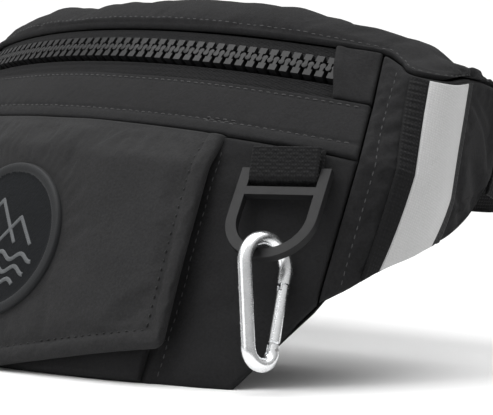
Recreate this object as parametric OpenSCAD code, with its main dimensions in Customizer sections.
// Waist pack with a front flap pocket, coil-free moulded-tooth zip, D-ring, carabiner
// and a webbing belt that closes behind with a side-release buckle.
//
// The pack stands on its base and leans back. Inside in_bag() the pack is upright:
// X is to the right, Y is towards the wearer, Z is up along the front face, and the
// front face is a cylinder about the Z axis. Angles are measured about that axis from
// the middle of the front, positive to the right.

/* [Bag] */
// Radius of the curved front face
front_r = 302; // [280:1:330]
// Lean of the whole pack, back from upright
lean = 21.55; // [18:0.05:25]
// Angle from the middle of the front to each side seam
seam_angle = 27.25; // [27:0.05:27.5]
// Depth from the front face to the face against the wearer
bag_depth = 72; // [66:1:80]
// Height of the front face, up to the seam under the yoke band
front_h = 98.8; // [94:0.1:104]
// Radius of the rounded vertical corner at each side seam
corner_r = 23.75; // [22:0.25:25]
// Length of the side wall, round the corner from the seam to the belt
side_len = 76; // [72:1:80]
// Thickness of the shell fabric with its lining
fabric_t = 2; // [1.5:0.1:2.2]
// Thickness of the padded back panel
back_t = 5; // [3:0.5:6]

/* [Flap pocket] */
// Half of the flap's width at its top, along the curve
flap_half = 91; // [88:0.5:92]
// Half of the flap's width at its lower corners, along the curve
flap_low_half = 96; // [93:0.5:96.5]
// Flap thickness
flap_t = 2.5; // [2:0.1:3]
// Half of the pocket's width, along the curve
pocket_half = 86; // [80:0.5:88]
// Radius of the round patch
patch_r = 30; // [24:0.5:34]
// Height of the patch centre
patch_z = 46.5; // [45:0.5:55]
// Distance of the patch centre from the middle, to the right
patch_x = 7.5; // [0:0.5:12]

/* [Zip] */
// Distance from one tooth to the next on the same side
tooth_pitch = 4.87; // [4.5:0.01:5.2]
// Teeth on the lower side
tooth_count = 47; // [41:2:47]
// Width of the closed chain of teeth
chain_w = 9.1; // [8.5:0.1:9.5]
// Thickness of a tooth
tooth_t = 3.7; // [3:0.1:3.8]
// Angle from the middle to the fabric tab at each end of the zip
zip_angle = 23.2; // [23:0.1:24]

/* [Ring and carabiner] */
// Angle from the middle of the front to the ring
ring_angle = 22.6; // [22:0.1:23.5]
// Turn of the ring and its webbing in the plane of the front face
ring_roll = 9; // [0:0.5:10]
// Width of the webbing that holds the ring
ring_webbing_w = 26; // [24:0.5:27]
// Outside width of the ring
ring_w = 34; // [33.5:0.5:36]
// Width of the ring's bar
ring_bar = 4; // [3:0.1:4.2]
// Angle at which the ring hangs away from the front face
ring_tilt = 19; // [17:0.5:24]
// Thickness of the carabiner's wire
wire_d = 5; // [4:0.1:5.2]
// Length of the carabiner
carabiner_l = 49; // [46:0.5:52]
// Lean of the carabiner to the right, in the plane of the front face
carabiner_lean = 5; // [2:0.5:8]
// Turn of the carabiner's plane away from the front face
carabiner_turn = 66; // [50:1:70]

/* [Belt] */
// Width of the belt webbing
belt_w = 38; // [36:0.5:40]
// Thickness of the belt webbing
belt_t = 1.6; // [1.2:0.1:1.6]
// Height of the belt's centre line
belt_z = 128; // [126:0.5:130]
// Length of the belt's straight run behind each side wall
belt_run = 6; // [4:1:8]
// Radius of the belt's bend at the rear
belt_bend_r = 26; // [24:1:28]

/* [Hidden] */
$fn = 96;
gap = 0.3;
far = 400;
front_y = -38.4;
tilt_per_mm = tan(lean);

// Profile of the front, as [radius, height], from the base up to the top panel.
yoke_low = [front_r, front_h];
yoke_high = [front_r - 11, front_h + 22.5];
zip_high = [front_r - 19, front_h + 44.5];

// The side wall's plan, as headings in degrees from the X axis: round the corner to
// side_heading, straight, then a wide bend back to rear_heading, where the belt starts.
side_heading = 118.5;
rear_heading = 97;
rear_bend_at = 50;
rear_bend_r = 40;
corner_len = corner_r * (side_heading - seam_angle) * PI / 180;
rear_bend_len = rear_bend_r * (side_heading - rear_heading) * PI / 180;
seam_len = front_r * seam_angle * PI / 180;
corner_centre = (front_r - corner_r) * [sin(seam_angle), -cos(seam_angle)];

// Above the yoke seam, the side seam moves towards the middle by this angle per mm.
seam_slant = 0.042;

// Distances past the side seam between which the webbing and the stripe lie.
web_from = 13.75;
web_to = 51.75;
stripe_from = 20.25;
stripe_to = 45.25;

// Lower corner of the front face, as [half-width, height], and half-widths of the flat
// base at its front and at the back panel.
front_corner = [118, 9];
base_half = [116.5, 46];

// Half-width at which the back panel meets the side wall, and the top panel's clearance
// and last place on the side wall.
wing_x = back_side(wall_low(side_len));
top_lift = fabric_t + 1.3;
top_end = side_len - 4;

// Zip: slope of its face, middle of the chain up the slope, depths of tape and teeth.
zip_slope = atan2(zip_high[1] - yoke_high[1], yoke_high[0] - zip_high[0]);
zip_w = norm(zip_high - yoke_high);
chain_mid = zip_w / 2;
tape_z = -3;
tape_angle = 24.6;
tape_t = 0.7;
tooth_z = -4.4;
chain_r = yoke_high[0] - chain_mid * cos(zip_slope);
pitch_angle = tooth_pitch / chain_r * 180 / PI;
slider_angle = -21.6;
slider_l = 15;
slider_w = 13.6;
slider_plate = 1.5;
pull_z = 3.3;
pull_axle_r = 1.1;

// Flap layers, as distances in front of the front face.
loop_out = 1.8;
hook_out = 4.3;
flap_out = 5.6;

// Ring: the pivot bar sits in the fold of its webbing.
ring_pivot = [front_r + 3.4, 85.4];
ring_pin_r = 1.3;
ring_fold_r = 1.45;
ring_webbing_t = 1.3;
ring_t = 3;
ring_ear = 3;
ring_drop = 34.6;
ring_cross = 6.7;
ring_cross_t = 3.4;

// Carabiner: centre line radii at its wide top and narrow bottom.
wire_r = wire_d / 2;
top_bend_r = 9.5;
low_bend_r = 5.5;
bend_gap = carabiner_l - wire_d - top_bend_r - low_bend_r;
limb_angle = asin((top_bend_r - low_bend_r) / bend_gap);
limb_l = bend_gap * cos(limb_angle);
hang_gap = 2.2;
gate_t = 4;
gate_pin_r = 0.8;
gate_pin_up = 1.2;

// Belt: it stands slightly inside the line of the side wall.
belt_in = 3;
belt_gap = 2.2;
bend_angle = 180 - rear_heading;
belt_low = belt_z - belt_w / 2;

// Buckle, measured from its own middle line.
buckle_h = 46;
buckle_t = 12;
bar_r = 1.6;
bar_clear = 0.2;
rail_in = belt_w / 2 + 0.4;
female_bar = -40.5;
male_bar = 22.5;
arm_pivot = [-3.3, 12.2];
arm_t = 5.6;

// Depth of the belt with its tail, far end of the tail and place of the keeper.
belt_stack = 2 * (belt_t + bar_r + bar_clear);
tail_end = 85;
keeper_x = 52;

// ---- Frames ----

// Puts the upright pack in its standing, leaning place.
module in_bag() {
    translate([0, front_y, 0])
        rotate([-lean, 0, 0])
            translate([0, front_r, 0])
                children();
}

// A flat frame on the zip's face: X along the zip, Y up the slope, Z out of the face.
module on_zip(angle) {
    rotate([0, 0, angle])
        translate([0, -yoke_high[0], yoke_high[1]])
            rotate([zip_slope, 0, 0])
                children();
}

// The ring webbing's frame: X along the ring's pivot, Z up, Y towards the bag. It is
// turned about the webbing's root at the yoke seam.
module on_ring_webbing() {
    rotate([0, 0, ring_angle])
        translate([0, -ring_pivot[0], front_h])
            rotate([0, -ring_roll, 0])
                translate([0, 0, ring_pivot[1] - front_h])
                    children();
}

// The ring's own frame, tilted away from the bag.
module on_ring() {
    on_ring_webbing()
        rotate([-ring_tilt, 0, 0])
            children();
}

// The carabiner's frame: origin at the centre of its top bend, Z up, X towards the gate.
module on_carabiner() {
    hang = ring_drop - ring_bar - wire_r - hang_gap;
    on_ring()
        translate([0, 0, -hang])
            rotate([ring_tilt, 0, 0])
                rotate([0, -carabiner_lean, 0])
                    rotate([0, 0, carabiner_turn])
                        translate([0, 0, -top_bend_r])
                            children();
}

// The buckle's frame: origin at its middle, X along the belt, Z across the belt.
module on_buckle() {
    translate([0, belt_rear() - belt_stack / 2, belt_z])
        children();
}

// ---- Outlines and curves ----

function mix(a, b, t) = a + (b - a) * t;
function ease(t) = let (u = max(0, min(1, t))) u * u * (3 - 2 * u);

// Point of a face's section: s up the line from p to q, n out from it.
function along(p, q, s, n) =
    let (d = (q - p) / norm(q - p)) p + d * s + [d[1], -d[0]] * n;

// Heading of the pack's outline at distance s past the side seam.
function heading(s) =
    s < 0 ? seam_angle + s / front_r * 180 / PI :
    s < corner_len ? seam_angle + s / corner_r * 180 / PI :
    side_heading
        - min(max(0, s - rear_bend_at), rear_bend_len) / rear_bend_r * 180 / PI;

// Plan point of the outline at s, moved inwards by inset.
function outline(s, inset) =
    let (h = heading(s), out = [sin(h), -cos(h)], side = [sin(side_heading), -cos(side_heading)],
         run = [cos(side_heading), sin(side_heading)],
         straight = max(0, min(s, rear_bend_at) - corner_len))
    s < 0 ? (front_r - inset) * out :
    s < rear_bend_at ? corner_centre + (corner_r - inset) * out + straight * run :
    corner_centre + corner_r * side + straight * run + rear_bend_r * (side - out)
        + max(0, s - rear_bend_at - rear_bend_len) * [cos(h), sin(h)] - inset * out;

// How far the front and the side wall lean in at height z.
function front_lean(z) =
    z < yoke_low[1] ? 0 :
    z < yoke_high[1] ? mix(0, 11, (z - yoke_low[1]) / 22.5) :
    mix(11, 19, (z - yoke_high[1]) / 22);
function side_lean(z) =
    5.2 * max(0, z - front_h) / 45 + 9 * pow(max(0, front_h - z) / 40, 2);
function wall_lean(s, z) = mix(front_lean(z), side_lean(z), ease(s / 28.25));

// How far the side seam has moved towards the middle at height z, along the front.
function seam_shift(z) = front_r * seam_slant * max(0, z - front_h) * PI / 180;

// Point of the side wall at s and height z, moved inwards by inset.
function wall_point(s, z, inset) =
    let (p = outline(s - seam_shift(z) * (1 - ease(s / 28.25)), inset + wall_lean(s, z)))
    [p[0], p[1], z];

// Half-width of the back panel at height z, just inside the end of the side wall.
function back_side(z) = outline(side_len, fabric_t + side_lean(z) + 0.5)[0];

// Lower and upper edges of the side wall at s.
function wall_low(s) = 45.5 + 0.85 * s - 0.003 * s * s + 0.045 * pow(max(0, s - 54), 2);
function wall_high(s) =
    zip_high[1] - 8.8 + 7.8 * exp(-pow(s / 9, 2)) + 13.5 * ease((s - 16) / 54);

// Height of the floor plane inside the upright frame at depth y.
function floor_at(y) = (y + front_r) * tilt_per_mm;

// Centre of the belt's bend, and how far back the outside of its rear run lies.
function belt_bend_centre() =
    outline(side_len + belt_run, 0) + belt_bend_r * [-sin(rear_heading), cos(rear_heading)];
function belt_rear() = belt_bend_centre()[1] + belt_bend_r - belt_in;

// ---- Building blocks ----

// Part of a ring about the upright axis, with the section given as [radius, height].
module arc_band(section, from, to) {
    rotate([0, 0, from - 90])
        rotate_extrude(angle = to - from)
            polygon(section);
}

// A band that lies on the sloping line from p to q.
module slope_band(p, q, s0, s1, n0, n1, from, to) {
    arc_band([along(p, q, s0, n0), along(p, q, s0, n1), along(p, q, s1, n1),
              along(p, q, s1, n0)], from, to);
}

// An upright band of the front face, standing out by the given distance.
module front_band(out, t, z0, z1, half) {
    a = half / front_r * 180 / PI;
    r0 = front_r + out;
    arc_band([[r0, z0], [r0 + t, z0], [r0 + t, z1], [r0, z1]], -a, a);
}

// Cuts a curved band to an outline drawn as seen from the front.
module trim_front() {
    intersection() {
        children(0);
        rotate([90, 0, 0])
            linear_extrude(far)
                children(1);
    }
}

// A closed sheet between two grids of points, each a list of rows of equal length.
module sheet(outer, inner) {
    rows = len(outer);
    cols = len(outer[0]);
    n = rows * cols;
    points = concat([for (row = outer) each row], [for (row = inner) each row]);
    function at(i, j) = i * cols + j;
    function quad(a, b, c, d) = [[a, b, c], [a, c, d]];
    faces = concat(
        [for (i = [0:rows - 2], j = [0:cols - 2])
            each quad(at(i, j), at(i, j + 1), at(i + 1, j + 1), at(i + 1, j))],
        [for (i = [0:rows - 2], j = [0:cols - 2])
            each quad(n + at(i, j), n + at(i + 1, j), n + at(i + 1, j + 1), n + at(i, j + 1))],
        [for (i = [0:rows - 2])
            each quad(at(i, 0), at(i + 1, 0), n + at(i + 1, 0), n + at(i, 0))],
        [for (i = [0:rows - 2])
            each quad(at(i + 1, cols - 1), at(i, cols - 1),
                      n + at(i, cols - 1), n + at(i + 1, cols - 1))],
        [for (j = [0:cols - 2])
            each quad(at(0, j + 1), at(0, j), n + at(0, j), n + at(0, j + 1))],
        [for (j = [0:cols - 2])
            each quad(at(rows - 1, j), at(rows - 1, j + 1),
                      n + at(rows - 1, j + 1), n + at(rows - 1, j))]);
    polyhedron(points, faces, convexity = 6);
}

// Rows of points on the right side wall from s0 to s1, moved inwards by inset.
function wall_grid(s0, s1, steps, inset, lift) =
    [for (i = [0:steps])
        let (s = mix(s0, s1, i / steps), low = wall_low(s) + lift, high = wall_high(s) - lift)
        [for (t = [0, 0.2, 0.4, 0.6, 0.8, 1])
            wall_point(s, mix(low, high, t), inset)]];

module wall_sheet(s0, s1, steps, out, t, lift) {
    sheet(wall_grid(s0, s1, steps, -out, lift), wall_grid(s0, s1, steps, t - out, lift));
}

module rounded_box(size, r) {
    linear_extrude(size[2])
        offset(r)
            offset(-r)
                square([size[0], size[1]]);
}

// Draws the right-hand piece, or its mirror image on the left.
module on_left() {
    mirror([1, 0, 0])
        children();
}

// ---- Shell ----

// Front view of the front face: flat along the floor, cut away at its lower corners.
module front_outline(top) {
    side = front_r * sin(seam_angle) + 1;
    corner = front_corner;
    polygon([[-side, top], [-side, wall_low(0)], [-corner[0], corner[1]], [-corner[0], -5],
             [corner[0], -5], corner, [side, wall_low(0)], [side, top]]);
}

// Front view of the band between the yoke seam and the top panel, up to the side seams.
module upper_outline(margin) {
    function side(profile) =
        profile[0] * sin(seam_angle - seam_slant * (profile[1] - front_h)) - margin;
    right = [for (profile = [yoke_low, yoke_high, zip_high]) [side(profile), profile[1]]];
    polygon(concat(right, [for (i = [2:-1:0]) [-right[i][0], right[i][1]]]));
}

module above_floor() {
    intersection() {
        children();
        translate([-far, -far, 0])
            cube([2 * far, 2 * far, far]);
    }
}

module front_panel() {
    color("#2b2b2d")
        above_floor()
            in_bag()
                trim_front() {
                    front_band(-fabric_t, fabric_t, -5, front_h - 1.2, seam_len - 1.2);
                    front_outline(front_h);
                }
}

module pocket_front() {
    color("#29292b")
        above_floor()
            in_bag()
                front_band(gap, 1.2, 4, front_h - 12, pocket_half);
}

module pocket_binding() {
    color("#222224")
        in_bag()
            front_band(gap, 1.4, front_h - 11.7, front_h - 7, pocket_half);
}

module pocket_loop_tape() {
    color("#1d1d1f")
        in_bag()
            front_band(loop_out, 1.1, 22, 42, 55);
}

module yoke_band() {
    color("#2d2d2f")
        in_bag()
            trim_front() {
                slope_band(yoke_low, yoke_high, 0.3, norm(yoke_high - yoke_low) - 0.5,
                           -fabric_t, 0, -seam_angle, seam_angle);
                upper_outline(1.4);
            }
}

// Point of the top panel at s, u running from its front edge to the back panel.
function top_point(s, u, inset) =
    let (shift = seam_shift(zip_high[1]),
         front = s < 0 ?
             outline(s * (seam_len - shift) / seam_len - shift, front_lean(zip_high[1]) + 0.6) :
             wall_point(s, wall_high(s), 0.6),
         past = max(0, s / top_end),
         turn = s < 0 ? 23.5 * (1 + s / seam_len) : 23.5 + 1.4 * past,
         back = [(front_r + 1) * sin(turn), bag_depth - (front_r + 1) * cos(turn)],
         p = mix(front, back, u),
         low = wall_high(max(s, 0)) + top_lift,
         high = wall_high(side_len) + top_lift,
         rise = mix(15, 2, ease((s + 75) / 140)))
    [p[0], p[1], mix(low, high, u) + rise * sin(180 * pow(u, 0.72)) - inset];

function top_grid(inset) =
    [for (i = [-24:24])
        let (s = mix(-seam_len, top_end, abs(i) / 24))
        [for (j = [0:6])
            let (p = top_point(s, j / 6, inset)) [i < 0 ? -p[0] : p[0], p[1], p[2]]]];

module top_panel() {
    color("#2a2a2c")
        in_bag()
            sheet(top_grid(0), top_grid(fabric_t));
}

module bottom_panel() {
    corner_y = -10.5;
    back_y = 37;
    color("#232325")
        intersection() {
            linear_extrude(fabric_t)
                polygon([[-base_half[0], -60], [base_half[0], -60], [base_half[0], corner_y],
                         [base_half[1], back_y], [-base_half[1], back_y],
                         [-base_half[0], corner_y]]);
            in_bag()
                difference() {
                    translate([0, 0, -50])
                        cylinder(r = front_r - fabric_t - gap, h = 150);
                    translate([0, bag_depth, -60])
                        cylinder(r = front_r + back_t + gap, h = 170);
                }
        }
}

// Lower edge of the back panel at x: along the floor, then up to the end of the side wall.
function back_low(x) =
    let (y = bag_depth - sqrt(pow(front_r + back_t, 2) - x * x),
         t = max(0, x - base_half[1]) / (wing_x - base_half[1]))
    mix(floor_at(y), wall_low(side_len) + 1, pow(t, 1.15));

// Sloping underside between the base and the right side wall.
function gusset_front(t, lift) =
    let (s = mix(-22, side_len - 6, t),
         p = s < 0 ? outline(s, fabric_t + 1) : wall_point(s, wall_low(s), fabric_t + 1),
         cut = (p[0] - front_corner[0]) / (front_r * sin(seam_angle) - front_corner[0]),
         low = s < 0 ? mix(front_corner[1] + 2.5, wall_low(0), cut) : wall_low(s))
    [p[0], p[1], low + 0.4 + lift];
function gusset_back(t, lift) =
    let (x = mix(base_half[1] + 2.5, 127, t),
         y = bag_depth - sqrt(pow(front_r + back_t + 0.8, 2) - x * x))
    [x, y, back_low(x) + 0.8 + lift];

function gusset_grid(lift) =
    [for (i = [0:14])
        let (t = i / 14)
        [gusset_front(t, lift), gusset_back(t, lift)]];

module gusset_right() {
    color("#232325")
        in_bag()
            sheet(gusset_grid(1.5), gusset_grid(0));
}

module gusset_left() {
    on_left()
        gusset_right();
}

module side_panel_right() {
    color("#28282a")
        in_bag()
            wall_sheet(0.3, side_len, 24, 0, fabric_t, 0);
}

module side_panel_left() {
    on_left()
        side_panel_right();
}

module side_webbing_right() {
    color("#1b1b1d")
        in_bag()
            wall_sheet(web_from, web_to, 12, 1.7, 1.2, 1);
}

module side_webbing_left() {
    on_left()
        side_webbing_right();
}

module reflective_stripe_right() {
    color("#b4b5b6")
        in_bag()
            wall_sheet(stripe_from, stripe_to, 8, 2.4, 0.4, 1.2);
}

module reflective_stripe_left() {
    on_left()
        reflective_stripe_right();
}

// ---- Back ----

// A band of the back panel, about the wearer's side of the pack.
module back_band(out, t, z0, z1, half_angle) {
    translate([0, bag_depth, 0])
        arc_band([[front_r + out, z0], [front_r + out + t, z0], [front_r + out + t, z1],
                  [front_r + out, z1]], -half_angle, half_angle);
}

module back_panel() {
    right = [for (x = [64, 80, 96, 112, wing_x]) [x, back_low(x)]];
    top = wall_high(side_len);
    side_high = [back_side(top), top];
    color("#242426")
        above_floor()
            in_bag()
                trim_front() {
                    back_band(0, back_t, 10, 160, 27);
                    polygon(concat([[0, 0], [base_half[1], 20]], right, [side_high],
                                   [[-side_high[0], side_high[1]]],
                                   [for (i = [len(right) - 1:-1:0]) [-right[i][0], right[i][1]]],
                                   [[-base_half[1], 20]]));
                }
}

module back_pad() {
    color("#1e1e20")
        in_bag()
            trim_front() {
                back_band(-5, 4.7, 44, 142, 22);
                offset(10)
                    offset(-10)
                        polygon([[-104, 142], [-104, 106], [-52, 50], [52, 50], [104, 106],
                                 [104, 142]]);
            }
}

module inner_pocket() {
    color("#39393c")
        in_bag()
            back_band(back_t + 1, 0.8, 84, 136, 15);
}

// ---- Flap ----

// Front view of the flap: square top, rounded corners and a shallow point below.
module flap_outline() {
    r = front_r + flap_out;
    high = [r * sin(flap_half / front_r * 180 / PI), front_h - 0.8];
    low = [r * sin(flap_low_half / front_r * 180 / PI), 17.5];
    offset(3)
        offset(-3)
            polygon([[-high[0], high[1]], [-low[0], low[1]], [-24, 0.5], [24, 0.5], low, high]);
}

module flap() {
    color("#303032")
        in_bag()
            trim_front() {
                front_band(flap_out, flap_t, -1, front_h - 0.8, flap_low_half + 5);
                flap_outline();
            }
}

module flap_hook_tape() {
    color("#1d1d1f")
        in_bag()
            front_band(hook_out, 1.1, 22, 42, 55);
}

module patch() {
    color("#2e3033")
        in_bag()
            trim_front() {
                front_band(flap_out + flap_t + 0.2, 1.6, 10, 90, 40);
                translate([patch_x, patch_z])
                    circle(patch_r);
            }
}

// ---- Zip ----

module zip_tape_lower() {
    color("#1b1b1c")
        in_bag()
            slope_band(yoke_high, zip_high, -4.5, chain_mid - chain_w / 2 - 0.15,
                       tape_z, tape_z + tape_t, -tape_angle, tape_angle);
}

module zip_tape_upper() {
    color("#1b1b1c")
        in_bag()
            slope_band(yoke_high, zip_high, chain_mid + chain_w / 2 + 0.15, zip_w - 0.5,
                       tape_z, tape_z + tape_t, -tape_angle, tape_angle);
}

// One moulded tooth: a square root, a narrow neck and a round head past the middle.
module tooth() {
    root = chain_w / 2;
    translate([0, 0, tooth_z])
        linear_extrude(tooth_t) {
            translate([-1.55, -root])
                square([3.1, root - 2]);
            translate([-0.75, -root + 1])
                square([1.5, root - 1]);
            translate([0, 0.3])
                circle(1.15, $fn = 24);
        }
}

module teeth(side, count) {
    for (i = [0:count - 1])
        on_zip((i - (count - 1) / 2) * pitch_angle)
            translate([0, chain_mid, 0])
                mirror([0, side, 0])
                    tooth();
}

module zip_teeth_lower() {
    color("#3a3a3c")
        in_bag()
            teeth(0, tooth_count);
}

module zip_teeth_upper() {
    color("#3a3a3c")
        in_bag()
            teeth(1, tooth_count - 1);
}

// Moulded blocks that stop the slider at the closed end and join the tapes at the other.
module zip_stops() {
    last = (tooth_count - 1) / 2 * pitch_angle;
    color("#303032")
        in_bag() {
            for (y = [-3.2, 1.2])
                on_zip(-last - 1.3)
                    translate([-1, chain_mid + y, tooth_z + 0.2])
                        cube([2, 2, 2]);
            on_zip(last + 1)
                translate([-1.4, chain_mid - chain_w / 2, tooth_z + 0.2])
                    cube([2.8, chain_w, 2]);
        }
}

module zip_tab_right() {
    color("#2b2b2d")
        in_bag()
            trim_front() {
                slope_band(yoke_high, zip_high, 0.3, zip_w - 0.4, -fabric_t, 0, zip_angle,
                           seam_angle);
                upper_outline(1.4);
            }
}

module zip_tab_left() {
    on_left()
        zip_tab_right();
}

// Slider: two plates joined by a wedge, with edge flanges and a bridge for the pull.
module zip_slider() {
    top = tooth_z + tooth_t + 0.5;
    low = tooth_z - 0.5 - slider_plate;
    color("#3c3c3f")
        in_bag()
            on_zip(slider_angle)
                translate([0, chain_mid, 0]) {
                    for (z = [top, low])
                        translate([-slider_l / 2, -slider_w / 2, z])
                            rounded_box([slider_l, slider_w, slider_plate], 3);
                    translate([-slider_l / 2 + 0.4, -1.2, low + 0.5])
                        cube([1.9, 2.4, top - low]);
                    for (side = [-1, 1])
                        translate([-slider_l / 2 + 3, side * (slider_w / 2 - 0.5) - 0.5, 0]) {
                            translate([0, 0, top - 0.9])
                                cube([slider_l - 6, 1, 1.2]);
                            translate([0, 0, low + slider_plate - 0.3])
                                cube([slider_l - 6, 1, 1.2]);
                        }
                    difference() {
                        translate([-4.5, -1.5, top + slider_plate - 0.2])
                            cube([9, 3, pull_z + 2.2 - top - slider_plate]);
                        translate([0, 0, pull_z])
                            rotate([90, 0, 0])
                                cylinder(r = pull_axle_r + 0.06, h = 8, center = true);
                    }
                }
}

module on_pull() {
    in_bag()
        on_zip(slider_angle)
            translate([0, chain_mid, pull_z])
                children();
}

// Pull: a round axle in the slider's bridge, two arms and a loop for the grip.
module zip_pull() {
    color("#4a4a4d")
        on_pull() {
            rotate([90, 0, 0])
                cylinder(r = pull_axle_r, h = 6, center = true);
            for (side = [-1, 1])
                translate([-11, side * 2.6 - 0.6, -0.8])
                    cube([12, 1.2, 1.6]);
            translate([-13, -3.2, -0.8])
                cube([2.2, 6.4, 1.6]);
        }
}

// Cord grip: a flat tab that wraps the end of the pull.
module pull_grip() {
    color("#202022")
        on_pull()
            difference() {
                translate([-30, -4, -1.4])
                    rounded_box([19.8, 8, 2.8], 2.5);
                translate([-13.2, -3.4, -1])
                    cube([6, 6.8, 2]);
                translate([-9.95, -5, -2])
                    cube([3, 10, 4]);
            }
}

// ---- Ring and carabiner ----

// Webbing folded round the ring's pivot bar, with both ends in the yoke seam.
module ring_webbing() {
    r = ring_fold_r;
    t = ring_webbing_t;
    up = front_h - 1.5 - ring_pivot[1];
    color("#1c1c1e")
        in_bag()
            on_ring_webbing()
                translate([-ring_webbing_w / 2, 0, 0])
                    rotate([90, 0, 90])
                        linear_extrude(ring_webbing_w)
                            difference() {
                                union() {
                                    circle(r + t);
                                    translate([-r - t, 0])
                                        square([2 * (r + t), up]);
                                }
                                circle(r);
                                translate([-r, 0])
                                    square([2 * r, up + 1]);
                            }
}

// Ring: a flat D with ears beside the webbing, a cross bar and a round pivot bar.
module d_ring() {
    half = ring_w / 2;
    centre = ring_drop - half;
    color("#4c4c4f")
        in_bag()
            on_ring() {
                rotate([0, 90, 0])
                    cylinder(r = ring_pin_r, h = ring_w - 2, center = true);
                translate([0, ring_t / 2, 0])
                    rotate([90, 0, 0])
                        linear_extrude(ring_t)
                            difference() {
                                union() {
                                    translate([0, -centre])
                                        circle(half);
                                    translate([-half, -centre])
                                        square([ring_w, centre + ring_ear]);
                                }
                                difference() {
                                    union() {
                                        translate([0, -centre])
                                            circle(half - ring_bar);
                                        translate([-half + ring_bar, -centre])
                                            square([ring_w - 2 * ring_bar, far]);
                                    }
                                    translate([-half, -ring_cross - ring_cross_t / 2])
                                        square([ring_w, ring_cross_t]);
                                }
                            }
            }
}

// A bend of the carabiner's wire about the origin, in its XZ plane.
module wire_bend(r, from, to) {
    rotate([90, 0, 0])
        rotate([0, 0, from])
            rotate_extrude(angle = to - from)
                translate([r, 0])
                    circle(wire_r, $fn = 32);
}

// Places a limb's frame: origin at the lower bend's tangent point, Z up the limb.
module on_limb(side) {
    translate([0, 0, -bend_gap])
        rotate([0, side * limb_angle, 0])
            translate([side * low_bend_r, 0, 0])
                children();
}

// Straight wire is a hair thinner than the bends, and runs into them by joint_len.
module carabiner_body() {
    nose = 3.6;
    joint_len = 0.8;
    straight_r = wire_r - 0.05;
    color("#c9cbce")
        in_bag()
            on_carabiner() {
                wire_bend(top_bend_r, -limb_angle, 180 + limb_angle);
                on_limb(-1)
                    translate([0, 0, -joint_len])
                        cylinder(r = straight_r, h = limb_l + 2 * joint_len);
                on_limb(1)
                    translate([0, 0, limb_l - nose])
                        cylinder(r = straight_r, h = nose + joint_len);
                on_limb(1)
                    translate([0, 0, limb_l - nose - 1.8])
                        cylinder(r = 1.1, h = 2.2);
                difference() {
                    translate([0, 0, -bend_gap])
                        wire_bend(low_bend_r, 180 + limb_angle, 360 - limb_angle);
                    on_limb(1)
                        translate([-4, -1, -1.2])
                            cube([8, 2, 6]);
                }
                on_limb(1)
                    for (side = [0, 1])
                        mirror([0, side, 0])
                            fork_cheek();
            }
}

// One of the two cheeks that hold the gate's pin.
module fork_cheek() {
    difference() {
        intersection() {
            translate([0, 0, -1.6])
                cylinder(r = wire_r - 0.3, h = 4.6);
            translate([-4, 1, -2])
                cube([8, 4, 8]);
        }
        translate([0, 0, gate_pin_up])
            rotate([90, 0, 0])
                cylinder(r = gate_pin_r, h = 8, center = true);
    }
}

// Gate: a straight bar with a tongue at its hinge and a fork over the latch nib.
module carabiner_gate() {
    start = 4.2;
    color("#d4d6d8")
        in_bag()
            on_carabiner()
                on_limb(1)
                    difference() {
                        union() {
                            translate([0, 0, start])
                                cylinder(r = gate_t / 2, h = limb_l - 3.6 - 0.4 - start);
                            translate([-1.3, -0.85, gate_pin_up])
                                cube([2.6, 1.7, start + 0.5 - gate_pin_up]);
                            translate([0, 0.85, gate_pin_up])
                                rotate([90, 0, 0])
                                    cylinder(r = 1.6, h = 1.7);
                        }
                        translate([0, 0, gate_pin_up])
                            rotate([90, 0, 0])
                                cylinder(r = gate_pin_r + 0.05, h = 8, center = true);
                        translate([-4, -1.25, limb_l - 6.2])
                            cube([8, 2.5, 6]);
                        translate([0, 0, 9])
                            cylinder(r = 1.3, h = 10);
                    }
}

module gate_pin() {
    color("#9a9ca0")
        in_bag()
            on_carabiner()
                on_limb(1)
                    translate([0, 0, gate_pin_up])
                        rotate([90, 0, 0])
                            cylinder(r = gate_pin_r - 0.01, h = wire_d - 0.4, center = true);
}

// Spring inside the gate, drawn as its separate coils.
module gate_spring() {
    color("#8a8c90")
        in_bag()
            on_carabiner()
                on_limb(1)
                    for (turn = [0:6])
                        translate([0, 0, 10 + 1.3 * turn])
                            rotate_extrude()
                                translate([0.85, 0])
                                    circle(0.28, $fn = 16);
}

// ---- Belt ----

// Belt path behind the right side wall: straight, bend and flat rear to x.
module belt_path(x) {
    centre = belt_bend_centre();
    start = outline(side_len + belt_gap, belt_in);
    translate([start[0], start[1], belt_low])
        rotate([0, 0, rear_heading])
            cube([belt_run - belt_gap, belt_t, belt_w]);
    translate([centre[0], centre[1], belt_low])
        rotate([0, 0, rear_heading - 90])
            rotate_extrude(angle = bend_angle)
                translate([belt_bend_r - belt_in - belt_t, 0])
                    square([belt_t, belt_w]);
    translate([x, belt_rear() - belt_t, belt_low])
        cube([centre[0] - x, belt_t, belt_w]);
}

// The webbing's turn round a buckle bar at x and its inner end, which runs back by the
// given length. side is 1 where the belt comes from the right and -1 from the left.
module bar_loop(x, side, back) {
    r = bar_r + bar_clear;
    outer = r + belt_t;
    on_buckle()
        translate([x, 0, -belt_w / 2])
            mirror([side < 0 ? 1 : 0, 0, 0])
                linear_extrude(belt_w) {
                    difference() {
                        circle(outer);
                        circle(r);
                        translate([0, -outer])
                            square([outer, 2 * outer]);
                    }
                    translate([0, -outer])
                        square([back, belt_t]);
                }
}

module belt_right() {
    color("#1c1c1e")
        in_bag() {
            belt_path(male_bar);
            bar_loop(male_bar, 1, 6);
        }
}

module belt_left() {
    color("#1c1c1e")
        in_bag() {
            on_left()
                belt_path(-female_bar);
            bar_loop(female_bar, -1, 20);
        }
}

// Free end of the right webbing, which runs back inside the belt.
module belt_tail() {
    start = male_bar + 6.3;
    color("#1c1c1e")
        in_bag()
            translate([start, belt_rear() - belt_stack, belt_low])
                cube([tail_end - start, belt_t, belt_w]);
}

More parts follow.
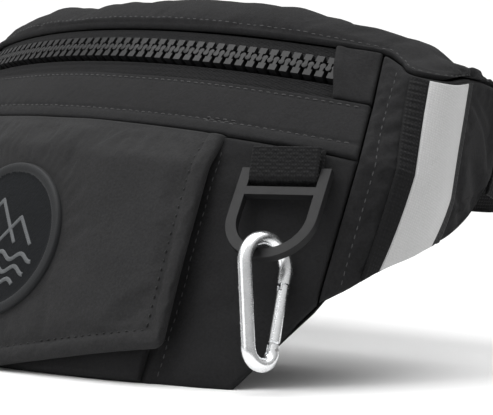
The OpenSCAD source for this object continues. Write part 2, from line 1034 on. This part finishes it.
// Elastic loop round the belt and its tail.
module keeper_loop() {
    wall = 1.2;
    width = 10;
    room = 0.3;
    depth = belt_stack + 2 * room;
    height = belt_w + 2 * room;
    color("#161617")
        in_bag()
            translate([keeper_x, belt_rear() + room - depth, belt_z - height / 2])
                difference() {
                    translate([0, -wall, -wall])
                        cube([width, depth + 2 * wall, height + 2 * wall]);
                    translate([-1, 0, 0])
                        cube([width + 2, depth, height]);
                }
}

// A rounded block of the buckle, from x0 to x1.
module buckle_block(x0, x1) {
    translate([x0, buckle_t / 2, 0])
        rotate([90, 0, 0])
            translate([0, -buckle_h / 2, 0])
                rounded_box([x1 - x0, buckle_h, buckle_t], 4);
}

module buckle_bar(x, r) {
    translate([x, 0, 0])
        cylinder(r = r, h = 2 * rail_in + 2, center = true);
}

// Female half: a flat shell with a side window for each latch arm.
module buckle_female() {
    color("#232325")
        in_bag()
            on_buckle() {
                difference() {
                    buckle_block(female_bar - 2.6, -2);
                    translate([-33, -3.6, -18.5])
                        cube([40, 7.2, 37]);
                    for (side = [-1, 1])
                        translate([-24, -3.8, side * 22 - 4])
                            cube([12, 7.6, 8]);
                    translate([female_bar - 5, -10, -rail_in])
                        cube([8.8, 20, 2 * rail_in]);
                }
                buckle_bar(female_bar, bar_r);
            }
}

// Male half: a ladder frame for the webbing and a centre guide.
module buckle_male() {
    color("#232325")
        in_bag()
            on_buckle() {
                difference() {
                    buckle_block(-1.6, male_bar + 2.6);
                    translate([6, -10, -rail_in])
                        cube([far, 20, 2 * rail_in]);
                }
                for (x = [13, male_bar])
                    buckle_bar(x, bar_r);
                translate([-30, -2.2, -4])
                    cube([30, 4.4, 8]);
            }
}

// Springy arm with a barb that stands in the female half's window.
module latch_arm(side) {
    color("#232325")
        in_bag()
            on_buckle()
                mirror([0, 0, side])
                    translate([0, arm_t / 2, 0])
                        rotate([90, 0, 0])
                            linear_extrude(arm_t) {
                                translate(arm_pivot)
                                    circle(1.7);
                                polygon([[-3.3, 10.5], [-3.3, 13.9], [-12.4, 17.2],
                                         [-12.6, 22.6], [-16, 23.2], [-23.4, 17], [-25, 14],
                                         [-14, 12.8]]);
                            }
}

module latch_arm_upper() {
    latch_arm(0);
}

module latch_arm_lower() {
    latch_arm(1);
}

front_panel();
pocket_front();
pocket_binding();
pocket_loop_tape();
yoke_band();
zip_tape_lower();
zip_tape_upper();
zip_teeth_lower();
zip_teeth_upper();
zip_stops();
zip_tab_left();
zip_tab_right();
zip_slider();
zip_pull();
pull_grip();
top_panel();
bottom_panel();
gusset_left();
gusset_right();
side_panel_left();
side_panel_right();
side_webbing_left();
side_webbing_right();
reflective_stripe_left();
reflective_stripe_right();
back_panel();
back_pad();
inner_pocket();
flap();
flap_hook_tape();
patch();
ring_webbing();
d_ring();
carabiner_body();
carabiner_gate();
gate_pin();
gate_spring();
belt_left();
belt_right();
belt_tail();
keeper_loop();
buckle_female();
buckle_male();
latch_arm_upper();
latch_arm_lower();
